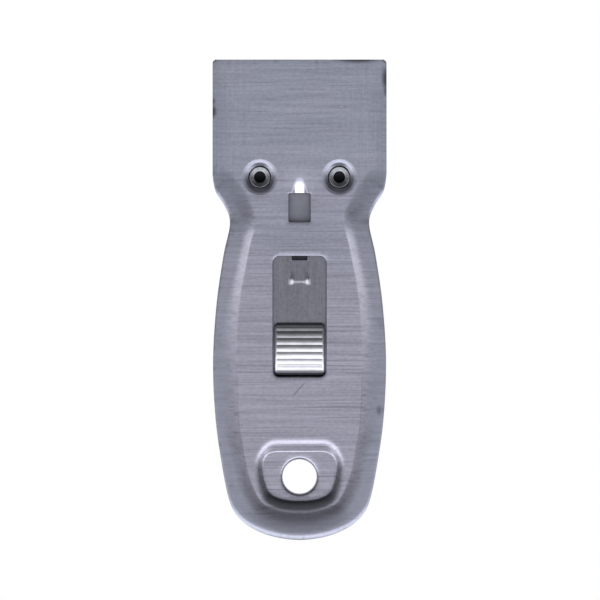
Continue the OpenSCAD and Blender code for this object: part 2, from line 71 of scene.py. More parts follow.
# Rivet dishes, latch window with its stop lip, thumb slot and hang recess
# in the dishes, the last three numbers place painted shade, with some dirt, round the rivet's ring, and say
# how dark
dish = {"x": 9.45, "y": 29.2, "mouth": 4.3, "ledge": 3.65, "wall": 2.54, "floor": 2.51,
        "flare": 0.1, "bottom": 0.77, "hole": 1.65, "edge": 0.1, "darkFrom": 4.2, "darkTo": 3.0, "darkShare": 0.3}
window = {"half": 2.6, "back": 18.5, "front": 25.4, "corner": 0.4, "edge": 0.14}
lip = {"half": 2.0, "tip": 0.85, "length": 3.9, "drop": 0.92, "side": 1.9, "behind": 1.0,
       # the last two: how strongly a highlight is painted on the stop lip where it is pressed down
       "dent": 0.2, "dentReach": 3.6, "highlightGain": 2.6, "highlightFrom": 0.6}
slot = {"half": 6.35, "back": -18.44, "front": 10.4, "corner": 1.5, "edge": 0.22}
hang = {"y": -42.1, "radius": 4.05, "roll": 0.8, "wall": 0.55, "bottom": 2.05, "fit": 0.05, "backEdge": 0.1}
recess = {"half": 8.8, "front": 5.95, "back": 5.8, "sideRun": 2.1, "frontRun": 3.15, "backRun": 2.8,
          "tight": 0.25, "foot": 0.02, "crest": 0.55,
          # where painted shade lies on the recess's back wall, which faces away from the light, and how dark
          "shadeMiddle": 0.14, "shadeReach": 0.5, "darkShare": 0.85}

# Right half of the hang recess's floor from front to back, in shares of its half width and of its length
recessShares = [
    [0, 0], [0.3, 0], [0.58, 0], [0.8, 0.03], [0.94, 0.12], [1, 0.28], [0.97, 0.5], [0.91, 0.68],
    [0.8, 0.85], [0.55, 0.95], [0.28, 0.99], [0, 1],
]

# Dark spots on the front: middle, half width and half height in mm, then how dark. The last two are faint
# bands of painted shade inside the head's sides, where the sheet bends slightly.
spotsAndShade = [
    [13.8, 57.15, 4.0, 0.55, 1.0], [20.6, 52.6, 0.8, 2.2, 0.8], [20.6, 49.8, 0.5, 1.2, 0.6],
    [-20.6, 44.8, 0.7, 1.2, 0.8], [-20.6, 47.2, 0.5, 0.8, 0.6], [18.9, -26.3, 0.5, 0.9, 0.5],
    [0, 14.5, 8, 2.6, 0.12], [18.7, 42.8, 1.6, 9, 0.07], [-18.7, 42.8, 1.6, 9, 0.07],
]
spotReach = 1.6  # where a spot has faded out, in its half sizes

# How fine the shells' meshes are: spacings and least gaps, in mm or in shares of another spacing
fineness = {
    "grid": 0.75, "gridRow": 0.866, "gridGap": 0.62, "edge": 0.45, "feature": 0.34, "least": 0.13,
    "panel": 1.3, "panelGap": 0.15, "panelFrom": -0.1, "panelTo": 1.1, "panelRows": 13,
    "dishRings": [2.0, 2.25], "dishStep": 0.14, "dishPast": 0.35,
    "lip": 0.16, "lipHalf": 2.2, "lipPast": 0.6, "recessFoot": [-0.15, -0.05, 0, 0.05],
}


def toColor(value):
    # a hex colour, or a grey by its level
    if not isinstance(value, str):
        return (value, value, value, 1.0)
    parts = [int(value[i:i + 2], 16) / 255 for i in (1, 3, 5)]
    return [p / 12.92 if p <= 0.04045 else ((p + 0.055) / 1.055) ** 2.4 for p in parts] + [1.0]


def addNode(tree, kind, links=(), ramp=(), take=0, **settings):
    # links: the inputs in order, or by name or number; take: the output to give, or None for all of them
    node = tree.nodes.new(kind if "Node" in kind else "ShaderNode" + kind)
    for name, value in settings.items():
        setattr(node, name, value)
    for k, (place, color) in enumerate(ramp):
        stops = node.color_ramp.elements
        stop = stops[k] if k < len(stops) else stops.new(place)
        stop.position = place
        stop.color = toColor(color)
    for name, value in links.items() if isinstance(links, dict) else enumerate(links):
        if isinstance(value, bpy.types.NodeSocket):
            tree.links.new(value, node.inputs[name])
        else:
            node.inputs[name].default_value = toColor(value) if isinstance(value, str) else value
    return node.outputs[take] if node.outputs and take is not None else node.outputs


# Curves and points in the plan

def smoothRows(rows, straight, steps):
    rows = np.array(rows, float)
    flip = np.ones(rows.shape[1])
    flip[0] = -1
    r = np.vstack([2 * rows[0] - rows[1], rows, rows[-2] * flip])
    found = []
    for i in range(len(rows) - 1):
        a, b, c, d = r[i:i + 4]
        for t in np.arange(steps) / steps:
            bend = t * (c - a) + t ** 2 * (2 * a - 5 * b + 4 * c - d) + t ** 3 * (3 * b - a - 3 * c + d)
            found.append(b + t * (c - b) if i < straight else b + bend / 2)
    found.append(rows[-1])
    return np.array(found)


def resample(rows, spacing):
    run = np.concatenate([[0], np.cumsum(np.linalg.norm(np.diff(rows[:, :2], axis=0), axis=1))])
    stops = np.linspace(0, run[-1], int(run[-1] / spacing) + 1)
    return np.stack([np.interp(stops, run, rows[:, k]) for k in range(rows.shape[1])], axis=1)


def outward(line):
    along = np.gradient(line[:, :2], axis=0)
    along /= np.linalg.norm(along, axis=1)[:, None]
    side = np.stack([-along[:, 1], along[:, 0]], axis=1)
    side[-1] = [0, -1]
    return side


def nearest(points, line, side):
    index = np.zeros(len(points), int)
    away = np.zeros(len(points))
    chunk = 4000
    for start in range(0, len(points), chunk):
        part = points[start:start + chunk]
        gap = part[:, None, :] - line[None, :, :2]
        best = np.argmin((gap ** 2).sum(axis=2), axis=1)
        index[start:start + chunk] = best
        away[start:start + chunk] = (gap[np.arange(len(part)), best] * side[best]).sum(axis=1)
    return index, away


def rightHalf(points):
    return np.stack([np.abs(points[:, 0]), points[:, 1]], axis=1)


def mirrored(points):
    return points * np.array([-1, 1])


def gridOf(columns, rows):
    x, y = np.meshgrid(columns, rows)
    return np.stack([x.ravel(), y.ravel()], axis=1)


def roundedBox(half, back, front, corner, grow, steps=7):
    wide, low, high, radius = half + grow, back - grow, front + grow, corner + grow
    places = [(wide - radius, high - radius, 0), (radius - wide, high - radius, 90),
              (radius - wide, low + radius, 180), (wide - radius, low + radius, 270)]
    corners = []
    for x, y, turn in places:
        for k in range(steps + 1):
            a = math.radians(turn + 90 * k / steps)
            corners.append([x + radius * math.cos(a), y + radius * math.sin(a)])
    corners = np.array(corners)
    loop = []
    for k in range(len(corners)):
        gap = corners[(k + 1) % len(corners)] - corners[k]
        long = 2 * half if k % (2 * steps + 2) == steps else front - back
        onSide = k % (steps + 1) == steps
        cuts = max(1, round(long / fineness["edge"])) if onSide else 1
        for t in range(cuts):
            loop.append(corners[k] + gap * t / cuts)
    return np.array(loop)


def circle(x, y, radius, count=96):
    a = np.arange(count) * 2 * math.pi / count
    return np.stack([x + radius * np.cos(a), y + radius * np.sin(a)], axis=1)


def inside(points, loop):
    found = np.zeros(len(points), bool)
    x, y = points[:, 0], points[:, 1]
    for a, b in zip(loop, np.roll(loop, -1, axis=0)):
        if a[1] == b[1]:
            continue
        crosses = (a[1] > y) != (b[1] > y)
        found ^= crosses & (x < (b[0] - a[0]) * (y - a[1]) / (b[1] - a[1]) + a[0])
    return found


def spread(groups, fixed):
    # keeps the points that stand clear of those kept before
    cells = {}
    kept = []

    def clear(p, gap):
        cx, cy = int(p[0] // 1), int(p[1] // 1)
        for i in (cx - 1, cx, cx + 1):
            for j in (cy - 1, cy, cy + 1):
                for q in cells.get((i, j), ()):
                    if (q[0] - p[0]) ** 2 + (q[1] - p[1]) ** 2 < gap * gap:
                        return False
        return True

    for p in fixed:
        cells.setdefault((int(p[0] // 1), int(p[1] // 1)), []).append(p)
    for points, gap in groups:
        for p in points:
            if clear(p, gap):
                cells.setdefault((int(p[0] // 1), int(p[1] // 1)), []).append(p)
                kept.append(p)
    return np.array(kept)


def triangulate(loops, points):
    # triangles over the first loop, with the other loops left open
    coords = [Vector(p) for loop in loops for p in loop] + [Vector(p) for p in points]
    edges = []
    start = 0
    for loop in loops:
        n = len(loop)
        edges += [(start + k, start + (k + 1) % n) for k in range(n)]
        start += n
    found, _, faces, origin, _, _ = delaunay_2d_cdt(coords, edges, [], 0, 1e-7)
    place = {source: k for k, sources in enumerate(origin) for source in sources}
    flat = np.array([v[:] for v in found])
    faces = np.array(faces)
    middle = flat[faces].mean(axis=1)
    keep = inside(middle, loops[0])
    for loop in loops[1:]:
        keep &= ~inside(middle, loop)
    rings = []
    start = 0
    for loop in loops:
        rings.append(np.array([place[start + k] for k in range(len(loop))]))
        start += len(loop)
    return flat, faces[keep], rings


# Meshes of sheet metal

def newBody():
    return {"verts": np.zeros((0, 3)), "faces": [], "inner": []}


def addPoints(body, flat, height):
    start = len(body["verts"])
    heights = np.broadcast_to(height, len(flat))
    body["verts"] = np.vstack([body["verts"], np.column_stack([flat, heights])])
    return np.arange(start, start + len(flat))


def addStrip(body, a, b, closed=True):
    n = len(a)
    for k in range(n if closed else n - 1):
        j = (k + 1) % n
        body["faces"].append((a[k], a[j], b[j], b[k]))


def addRings(body, before, rings):
    # joins each ring, a loop with its height, to the one before it; gives the last
    for loop, height in rings:
        ring = addPoints(body, loop, height)
        addStrip(body, before, ring)
        before = ring
    return before


def addCover(body, flat, faces, top, bottom):
    upper = addPoints(body, flat, top)
    lower = addPoints(body, flat, bottom)
    body["faces"] += [tuple(upper[f]) for f in faces]
    body["inner"] += [tuple(lower[f[::-1]]) for f in faces]
    return upper, lower


def addHoleEdge(body, makeLoop, radius, upper, lower, steps=4):
    # rounded upper edge of a pierced hole, then its straight wall
    top, low = body["verts"][upper][:, 2], body["verts"][lower][:, 2]
    turns = [math.radians(90 * k / steps) for k in range(1, steps + 1)]
    rings = [(makeLoop(radius - radius * math.sin(a)), top - radius * (1 - math.cos(a))) for a in turns]
    addStrip(body, addRings(body, upper, rings + [(makeLoop(0), low)]), lower)


def makePiece(name, body, materials, sharpAngle=38):
    mesh = bpy.data.meshes.new(name)
    faces = body["faces"] + body["inner"]
    corners = [tuple(int(i) for i in face) for face in faces]
    mesh.from_pydata([tuple(v) for v in body["verts"] * mm], [], corners)
    for material in materials:
        mesh.materials.append(material)
    for face in mesh.polygons[len(body["faces"]):]:
        face.material_index = len(materials) - 1
    # these carry, among others, the painted shade and the painted highlight to the materials
    for label in ("edge", "rim", "darkening", "paintedHighlight"):
        if label in body:
            mesh.attributes.new(label, "FLOAT", "POINT").data.foreach_set("value", body[label])
    work = bmesh.new()
    work.from_mesh(mesh)
    bmesh.ops.delete(work, geom=[v for v in work.verts if not v.link_faces], context="VERTS")
    bmesh.ops.recalc_face_normals(work, faces=work.faces)
    work.to_mesh(mesh)
    work.free()
    mesh.shade_smooth()
    mesh.set_sharp_from_angle(angle=math.radians(sharpAngle))
    piece = bpy.data.objects.new(name, mesh)
    bpy.context.scene.collection.objects.link(piece)
    return piece


def seat(piece, body, slotName, *nodes):
    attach(piece, body)
    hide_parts(*nodes)
    print(piece.name, len(piece.data.polygons), "faces")


# Heights of the pressed half

def pressCurve(t, foot, crest):
    # rises from 0 to 1 with a rounded foot and a rounded crest, straight between them
    t = np.clip(t, 0, 1)
    straight = foot / 2 + (t - foot)
    total = 1 - foot / 2 - crest / 2
    low = t ** 2 / (2 * max(foot, 1e-6))
    high = total - (1 - t) ** 2 / (2 * max(crest, 1e-6))
    return np.where(t < foot, low, np.where(t > 1 - crest, high, straight)) / total


def plan(rows):
    x = rows[:, 0] * handle["headHalf"]
    y = handle["mouth"] - rows[:, 1] * handle["length"]
    return np.column_stack([x, y, rows[:, 2]])


edgeFine = plan(smoothRows(edgeShares, 2, 24))
panelFine = plan(smoothRows(panelShares, 2, 24))
riseFine = np.clip(edgeFine[:, 2], 0, 1)
panelSide = outward(panelFine)


def recessLine():
    rows = smoothRows(recessShares, 2, 12)
    long = recess["front"] + recess["back"]
    return np.column_stack([rows[:, 0] * recess["half"], hang["y"] + recess["front"] - rows[:, 1] * long])


recessFloor = recessLine()
recessSide = outward(recessFloor)
lengthways = np.where(recessSide[:, 1] > 0, recess["frontRun"], recess["backRun"])
recessRun = recess["sideRun"] * recessSide[:, 0] ** 2 + lengthways * recessSide[:, 1] ** 2
recessRun -= recess["tight"] * (2 * recessSide[:, 0] * np.clip(recessSide[:, 1], 0, 1)) ** 2


def rimHeight(points):
    index, away = nearest(rightHalf(points), panelFine, panelSide)
    width = handle["rimSlope"] * panelFine[index, 2]
    slope = pressCurve(away / width, handle["rimFoot"], handle["rimCrest"])
    tail = np.clip(-panelSide[index, 1], 0, 1) ** 2 * (points[:, 1] < hang["y"])
    share = handle["tailTilt"] * tail
    rise = (1 - share) * slope + share * np.clip(away / handle["tailReach"], 0, 1)
    return handle["rimRise"] * riseFine[index] * rise


def dishDepth(points):
    # a shallow flare, then a steeper wall, and a step down to the floor under the rivet's clinched ring
    r = np.hypot(np.abs(points[:, 0]) - dish["x"], points[:, 1] - dish["y"])
    flare = pressCurve((dish["mouth"] - r) / (dish["mouth"] - dish["ledge"]), 0.5, 0.5)
    wall = pressCurve((dish["ledge"] - r) / (dish["ledge"] - dish["wall"]), 0.1, 0.05)
    step = np.clip((dish["wall"] - r) / (dish["wall"] - dish["floor"]), 0, 1)
    upper = dish["flare"] * flare + (dish["bottom"] - dish["flare"]) * wall
    return upper + (handle["pressDepth"] - dish["bottom"]) * step


def recessDepth(points):
    index, away = nearest(rightHalf(points), recessFloor, recessSide)
    wall = pressCurve(away / recessRun[index], recess["foot"], recess["crest"])
    return handle["pressDepth"] * (1 - wall)


def lipBend(points):
    s = np.clip((window["front"] + lip["length"] - points[:, 1]) / lip["length"], 0, 1)
    half = lip["tip"] + (lip["half"] - lip["tip"]) * s
    across = np.cos(np.clip(np.abs(points[:, 0]) / half, 0, 1) ** lip["side"] * math.pi / 2) ** 2
    ahead = points[:, 1] > window["front"] - lip["behind"]
    return lip["drop"] * pressCurve(s, 0.5, 0.0) * across * ahead


def lipDent(points):
    # the press also sinks the outside round the lip; the inside stays flat, for the carrier to run past
    r = np.hypot(points[:, 0], points[:, 1] - window["front"])
    return lip["dent"] * np.exp(-(r / lip["dentReach"]) ** 2)


def mouthDrop(points):
    t = np.clip((points[:, 1] - handle["mouth"] + handle["mouthRoll"]) / handle["mouthRoll"], 0, 1)
    return handle["mouthDrop"] * t ** 2


def skinHeight(points, front):
    height = handle["panel"] + rimHeight(points)
    height = height - dishDepth(points) - recessDepth(points) - mouthDrop(points)
    return height - lipBend(points) - lipDent(points) if front else height


# Plan of the pressed half

def edgePath():
    rows = resample(np.column_stack([edgeFine[:, :2], riseFine]), fineness["edge"])
    side = outward(rows)
    radius = handle["cornerRadius"]
    into = np.clip(radius - (handle["mouth"] - rows[:, 1]), 0, radius * handle["cornerTurn"])
    rows[:, 0] -= radius - np.sqrt(radius ** 2 - into ** 2)
    towardsTail = np.clip(-side[:, 1], 0, 1) ** handle["bendPower"]
    bend = handle["sideBend"] + (handle["tailBend"] - handle["sideBend"]) * towardsTail
    both = np.vstack([rows[:, :2], mirrored(rows[-2::-1, :2])])
    sides = np.vstack([side, mirrored(side[-2::-1])])
    bends = np.concatenate([bend, bend[-2::-1]])
    return both, sides, bends


def slotLoop(grow):
    return roundedBox(slot["half"], slot["back"], slot["front"], slot["corner"], grow)


def windowLoop(grow):
    return roundedBox(window["half"], window["back"], window["front"], window["corner"], grow)


def hangLoop(grow):
    return circle(0, hang["y"], hang["radius"] + grow)


def backHangLoop(grow):
    return circle(0, hang["y"], hang["radius"] + hang["wall"] + hang["fit"] + grow)


def leftDishLoop(grow):
    return circle(-dish["x"], dish["y"], dish["hole"] + grow, 48)


def rightDishLoop(grow):
    return circle(dish["x"], dish["y"], dish["hole"] + grow, 48)


def besideLine(line, side, offset):
    rows = line[:, :2] + side * offset
    return np.vstack([rows, mirrored(rows)])


def panelPoints():
    rows = resample(np.column_stack([panelFine, panelSide]), fineness["feature"] * fineness["panel"])
    width = handle["rimSlope"] * rows[:, 2:3]
    levels = np.linspace(fineness["panelFrom"], fineness["panelTo"], fineness["panelRows"])
    return [besideLine(rows, rows[:, 3:] * width, t) for t in levels]


def recessPoints():
    rows = resample(np.column_stack([recessFloor, recessSide * recessRun[:, None]]), fineness["feature"])
    levels = np.concatenate([fineness["recessFoot"], np.linspace(0.13, 1, 10), [1.15]])
    return [besideLine(rows, rows[:, 2:], t) for t in levels]


def dishPoints():
    groups = []
    step = fineness["dishStep"]
    outer = np.arange(dish["wall"] + step, dish["mouth"] + fineness["dishPast"], step)
    for r in [*fineness["dishRings"], dish["floor"], dish["wall"], *outer]:
        count = int(2 * math.pi * r / fineness["feature"])
        groups += [circle(x, dish["y"], r, count) for x in (-dish["x"], dish["x"])]
    return groups


def lipPoints():
    step, half = fineness["lip"], fineness["lipHalf"]
    end = window["front"] + lip["length"] + fineness["lipPast"]
    return gridOf(np.arange(-half, half + 0.01, step), np.arange(window["front"], end, step))


def gridPoints():
    step = fineness["grid"]
    rows = np.arange(-handle["mouth"], handle["mouth"], step * fineness["gridRow"])
    columns = np.arange(-handle["headHalf"], handle["headHalf"], step)
    shift = (np.arange(len(rows)) % 2) * step / 2
    x = columns[None, :] + shift[:, None]
    y = np.broadcast_to(rows[:, None], x.shape)
    return np.stack([x.ravel(), y.ravel()], axis=1)


def shellPoints(loops, front):
    fine = fineness["least"]
    groups = [(points, fine) for points in dishPoints() + recessPoints()]
    if front:
        groups.append((lipPoints(), fine))
    groups += [(points, fineness["panelGap"]) for points in panelPoints()]
    groups.append((gridPoints(), fineness["grid"] * fineness["gridGap"]))
    outer, holes = loops[0], loops[1:]
    ready = []
    for points, gap in groups:
        keep = inside(points, outer)
        for hole in holes:
            keep &= ~inside(points, hole)
        ready.append((points[keep], gap))
    return spread(ready, np.vstack(loops))


def addSkirt(body, path, sides, bends, upper, lower):
    # bend at the shell's edge and the skirt down to the seam, outside and inside
    count = len(path)
    seam = handle["seam"] + handle["seamGap"]
    innerBends = np.maximum(bends - handle["sheet"], handle["innerBend"])
    rings = []
    for base, radius in ((upper, bends), (lower, innerBends)):
        start = body["verts"][base[:count]]
        made = [base[:count]]
        for out, down in bendShares:
            flat = start[:, :2] + sides * (radius * out)[:, None]
            made.append(addPoints(body, flat, start[:, 2] - radius * down))
        made.append(addPoints(body, flat, seam))
        rings.append(made)
        for a, b in zip(made[:-1], made[1:]):
            addStrip(body, a, b, closed=False)
    addStrip(body, rings[0][-1], rings[1][-1], closed=False)
    for end in (0, -1):
        outer = [ring[end] for ring in rings[0]]
        inner = [ring[end] for ring in rings[1]]
        addStrip(body, outer, inner, closed=False)
    mouthUpper = np.concatenate([upper[count - 1:], upper[:1]])
    mouthLower = np.concatenate([lower[count - 1:], lower[:1]])
    addStrip(body, mouthUpper, mouthLower, closed=False)


def addCollar(body, upper, lower):
    # the hang hole's edge is drawn down through the back half
    top, roll = body["verts"][upper][:, 2], hang["roll"]
    under = body["verts"][lower][:, 2].min() - hang["fit"]
    turns = [math.radians(15 * k) for k in range(1, 7)]
    rings = [(hangLoop(roll * (1 - math.sin(a))), top - roll * (1 - math.cos(a))) for a in turns]
    ends = [(0, hang["bottom"]), (hang["wall"], hang["bottom"]), (hang["wall"], under)]
    rings += [(hangLoop(grow), height) for grow, height in ends]
    addStrip(body, addRings(body, upper, rings), lower)


def pressedHalf(front):
    path, sides, bends = edgePath()
    base = path - sides * bends[:, None]
    across = np.linspace(base[-1, 0], base[0, 0], int(2 * handle["headHalf"] / fineness["edge"]))[1:-1]
    mouth = np.stack([across, np.full(len(across), handle["mouth"])], axis=1)
    outer = np.vstack([base, mouth])
    holes = [(leftDishLoop, dish["edge"]), (rightDishLoop, dish["edge"])]
    holes += [(hangLoop, hang["roll"])] if front else [(backHangLoop, hang["backEdge"])]
    if front:
        holes += [(slotLoop, slot["edge"]), (windowLoop, window["edge"])]
    loops = [outer] + [makeLoop(radius) for makeLoop, radius in holes]
    flat, faces, rings = triangulate(loops, shellPoints(loops, front))
    body = newBody()
    height = skinHeight(flat, front)
    within = height - handle["sheet"] + lipDent(flat) * front
    upper, lower = addCover(body, flat, faces, height, within)
    addSkirt(body, path, sides, bends, upper[rings[0]], lower[rings[0]])
    for (makeLoop, radius), ring in zip(holes, rings[1:]):
        if makeLoop is hangLoop:
            addCollar(body, upper[ring], lower[ring])
        else:
            addHoleEdge(body, makeLoop, radius, upper[ring], lower[ring])
    return markWearAndShading(body, front)


def markWearAndShading(body, front):
    # edge: 1 at the handle's outer edge, 0 from some way in; rim: 0 on the middle panel, 1 outside its slope
    # darkening: painted shade with some dirt in the dishes, painted shade on the hang recess's back wall,
    # dark spots and bands of painted shade; lip highlight: 1 where a highlight is painted on the stop lip
    flat = body["verts"][:, :2]
    away = nearest(rightHalf(flat), edgeFine, outward(edgeFine))[1]
    side = 1 + away / handle["grimeReach"]
    mouth = 1 - (handle["mouth"] - flat[:, 1]) / handle["grimeReach"]
    body["edge"] = np.clip(np.maximum(side, mouth), 0, 1)
    body["rim"] = np.clip(nearest(rightHalf(flat), panelFine, panelSide)[1] / handle["rimSlope"], 0, 1)
    # a highlight is painted on the stop lip where it is pressed down towards the light
    sunk = (lipBend(flat) + lipDent(flat)) / lip["drop"]
    body["paintedHighlight"] = np.clip(lip["highlightGain"] * sunk - lip["highlightFrom"], 0, 1) * front
    # painted shade, with some dirt, in the rivet dishes round the clinched rings
    r = np.hypot(np.abs(flat[:, 0]) - dish["x"], flat[:, 1] - dish["y"])
    darkening = dish["darkShare"] * np.clip((dish["darkFrom"] - r) / (dish["darkFrom"] - dish["darkTo"]), 0, 1)
    # painted shade on the back wall of the hang recess, on the tail's side, which faces away from the light
    index, away = nearest(rightHalf(flat), recessFloor, recessSide)
    wall = np.abs(away / recessRun[index] - recess["shadeMiddle"])
    wall = np.clip(1 - wall / recess["shadeReach"], 0, 1) * np.clip(-recessSide[index, 1], 0, 1)
    darkening = np.maximum(darkening, recess["darkShare"] * wall)
    for x, y, wide, tall, depth in spotsAndShade if front else []:
        gap = np.hypot((flat[:, 0] - x) / wide, (flat[:, 1] - y) / tall)
        darkening = np.maximum(darkening, depth * np.clip(spotReach - gap, 0, 1))
    body["darkening"] = darkening
    return body


def turnOver(body):
    body["verts"][:, 2] = 2 * handle["seam"] - body["verts"][:, 2]
    return body


# Rivets: one turned rivet, set at both places by nodes

rivet = {
    "head": 2.3, "headRise": 0.75, "shank": 1.6, "fit": 0.02, "sides": 72,
    "clinch": 2.5, "clinchRise": 0.6, "roll": 0.13, "funnel": 16,
    "boreMouth": 1.35, "bore": 1.2, "boreTaper": 0.2, "boreEnd": 2.5, "drillTip": 0.3,
    # where black is painted as shade down the bore
    "shadeFrom": 1.43, "shadeTo": 1.31,
}


def rivetBody():
    low = 2 * handle["seam"] - handle["panel"] + handle["pressDepth"]
    high = handle["panel"] - handle["pressDepth"]
    turns = [math.radians(a) for a in range(0, 91, 9)]
    profile = [(rivet["head"] * math.sin(a), low - rivet["headRise"] * math.cos(a)) for a in turns[1:]]
    profile += [(rivet["shank"], low + rivet["fit"]), (rivet["shank"], high - rivet["fit"])]
    # the clinched end: its edge is rolled, and its top falls like a funnel to the rounded mouth of the bore
    roll = rivet["roll"]
    edge = rivet["clinch"] - roll
    mouth = rivet["boreMouth"] + roll
    top = high + rivet["clinchRise"] - roll
    fall = (edge - mouth) * math.tan(math.radians(rivet["funnel"]))
    profile.append((rivet["clinch"], high + rivet["fit"]))
    for a in np.radians(np.linspace(0, 90 + rivet["funnel"], 9)):
        profile.append((edge + roll * math.cos(a), top + roll * math.sin(a)))
    for a in np.radians(np.linspace(90 + rivet["funnel"], 180, 9)):
        profile.append((mouth + roll * math.cos(a), top - fall + roll * math.sin(a)))
    profile += [(rivet["bore"], handle["seam"] + rivet["boreTaper"]), (rivet["bore"], rivet["boreEnd"])]
    body = newBody()
    rings = [addPoints(body, circle(0, 0, r, rivet["sides"]), z) for r, z in profile]
    for a, b in zip(rings[:-1], rings[1:]):
        addStrip(body, a, b)
    ends = [(rings[0], low - rivet["headRise"]), (rings[-1], rivet["boreEnd"] - rivet["drillTip"])]
    for ring, z in ends:
        tip = addPoints(body, np.zeros((1, 2)), z)[0]
        body["faces"] += [(ring[k], ring[(k + 1) % len(ring)], tip) for k in range(len(ring))]
    return body


def newTree(name, inputs):
    tree = bpy.data.node_groups.new(name, "GeometryNodeTree")
    tree.interface.new_socket("Geometry", in_out="INPUT", socket_type="NodeSocketGeometry")
    for label in inputs:
        tree.interface.new_socket(label, in_out="INPUT", socket_type="NodeSocketFloat")
    tree.interface.new_socket("Geometry", in_out="OUTPUT", socket_type="NodeSocketGeometry")
    add = partial(addNode, tree)
    return tree, add, add("NodeGroupInput", take=None)


def closeTree(add, geometry, material):
    real = add("GeometryNodeRealizeInstances", {"Geometry": geometry})
    painted = add("GeometryNodeSetMaterial", {"Geometry": real, "Material": material})
    add("NodeGroupOutput", {"Geometry": painted})


def runTree(piece, tree, values):
    modifier = piece.modifiers.new("nodes", "NODES")
    modifier.node_group = tree
    for item in tree.interface.items_tree:
        if item.in_out == "INPUT" and item.name in values:
            modifier[item.identifier] = values[item.name]
    plain = bpy.data.meshes.new_from_object(piece.evaluated_get(bpy.context.evaluated_depsgraph_get()))
    piece.modifiers.remove(modifier)
    piece.data = plain


def rivetTree(material):
    tree, add, given = newTree("rivetPair", ["Spacing", "Distance"])
    half = add("Math", [given["Spacing"], -0.5], operation="MULTIPLY")
    start = add("CombineXYZ", {"X": half, "Y": given["Distance"]})
    step = add("CombineXYZ", {"X": given["Spacing"]})
    places = add("GeometryNodeMeshLine", {"Count": 2, "Start Location": start, "Offset": step})
    pair = add("GeometryNodeInstanceOnPoints", {"Points": places, "Instance": given["Geometry"]})
    closeTree(add, pair, material)
    return tree


# Spring-steel carrier, drawn as it is with the thumb button pressed in

carrier = {
    "thickness": 0.6, "plateTop": 4.0, "trayTop": 2.4, "plateHalf": 8.5, "plateBack": -19.64,
    "neckHalf": 4.75, "neckBack": 10.5, "joggleBack": 33.1, "joggleFront": 34.3,
    "trayHalf": 18.9, "trayFront": 41.45, "tongueClear": 0.5,
    "tongueHalf": 2.0, "tongueBack": 4.25, "tongueFront": 9.3, "tongueRaise": 0.12, "tongueFall": 0.04,
    "shear": 0.03, "pull": 1.2, "pullReach": 0.9, "rampMiddle": 0.42, "rampCorner": 1.7, "cornerLift": 2.1,
    "liftReach": 2.6, "lanceHalf": 1.85, "lanceGap": 0.1,
    "gateHalf": 2.9, "gateBack": 11.0, "gateFront": 31.9,
    "hingeY": 37.1, "hingeZ": 3.07, "pressAngle": 1.12,
    "lugDepth": 0.6, "lugWidth": 1.4, "lugY": 40.75, "lugTop": 3.37, "lugRoot": 0.05,
    "lugCorner": 0.12, "lugEdge": 0.08, "lugTopShare": 0.86,
    # how fine its mesh is: spacings in mm, and where the points lie
    "side": 0.6, "gridHalf": 18.6, "gridBack": -19.4, "gridFront": 41.3, "gridGap": 0.35,
    "fine": 0.16, "fineHalf": 3.2, "fineBack": 1.2, "fineGap": 0.1, "shearStep": 0.2, "shearGap": 0.03,
    "bendRows": 9, "bendColumns": 60, "bendPast": 0.1,
}


def pressIn(piece):
    # turns a piece about the blade's spine, as a thumb does that presses it in
    hinge = Matrix.Translation(Vector((0, carrier["hingeY"], carrier["hingeZ"])) * mm)
    turn = Matrix.Rotation(math.radians(carrier["pressAngle"]), 4, "X")
    piece.data.transform(hinge @ turn @ hinge.inverted())


def softCorners(points, radii, steps=6):
    # an outline with its corners rounded, and points along its longer sides
    points = np.array(points, float)
    made = []
    for i, p in enumerate(points):
        back = points[i - 1] - p
        ahead = points[(i + 1) % len(points)] - p
        a = p + radii[i] * back / np.linalg.norm(back)
        b = p + radii[i] * ahead / np.linalg.norm(ahead)
        shares = np.linspace(0, 1, steps if radii[i] else 1)
        made += [(1 - t) ** 2 * a + 2 * t * (1 - t) * p + t ** 2 * b for t in shares]
    loop = []
    for a, b in zip(made, made[1:] + made[:1]):
        cuts = max(1, round(np.linalg.norm(b - a) / carrier["side"]))
        loop += [a + (b - a) * t / cuts for t in range(cuts)]
    return np.array(loop)


def carrierOutline():
    c = carrier
    half = [[c["plateHalf"], c["plateBack"]], [c["plateHalf"], c["tongueFront"]],
            [c["neckHalf"], c["neckBack"]], [c["neckHalf"], c["joggleFront"]],
            [c["trayHalf"], c["joggleFront"]], [c["trayHalf"], c["trayFront"]]]
    radii = [1.5, 1.5, 1.5, 0, 0.5, 0.5]
    return softCorners(half + [[-x, y] for x, y in half[::-1]], radii + radii[::-1])


def gateOutline():
    c = carrier
    half = [[c["lanceHalf"], c["tongueFront"] + c["lanceGap"]], [c["lanceHalf"], c["gateBack"]],
            [c["gateHalf"], c["gateBack"]], [c["gateHalf"], c["gateFront"]]]
    radii = [0.1, 0, 0.6, 0.6]
    return softCorners(half + [[-x, y] for x, y in half[::-1]], radii + radii[::-1])


def tongueRaise(points):
    c = carrier
    x, y = np.abs(points[:, 0]), points[:, 1]
    corner = np.clip(x / c["tongueHalf"], 0, 1) ** 4
    ramp = c["rampMiddle"] + (c["rampCorner"] - c["rampMiddle"]) * corner
    along = pressCurve((y - c["tongueBack"] + ramp / 2) / ramp, 0.2, 0.2)
    shear = c["shear"] + c["pull"] * np.exp(-((y - c["tongueBack"]) / c["pullReach"]) ** 2)
    side = pressCurve((c["tongueHalf"] + shear / 2 - x) / shear, 0.5, 0.5)
    lift = 1 + c["cornerLift"] * corner * (1 - pressCurve((y - c["tongueBack"]) / c["liftReach"], 0.5, 0.5))
    ahead = np.clip((y - c["tongueBack"]) / (c["tongueFront"] - c["tongueBack"]), 0, 1)
    height = c["tongueRaise"] * lift - c["tongueFall"] * ahead
    return height * along * side * (y < c["tongueFront"] + c["tongueClear"])


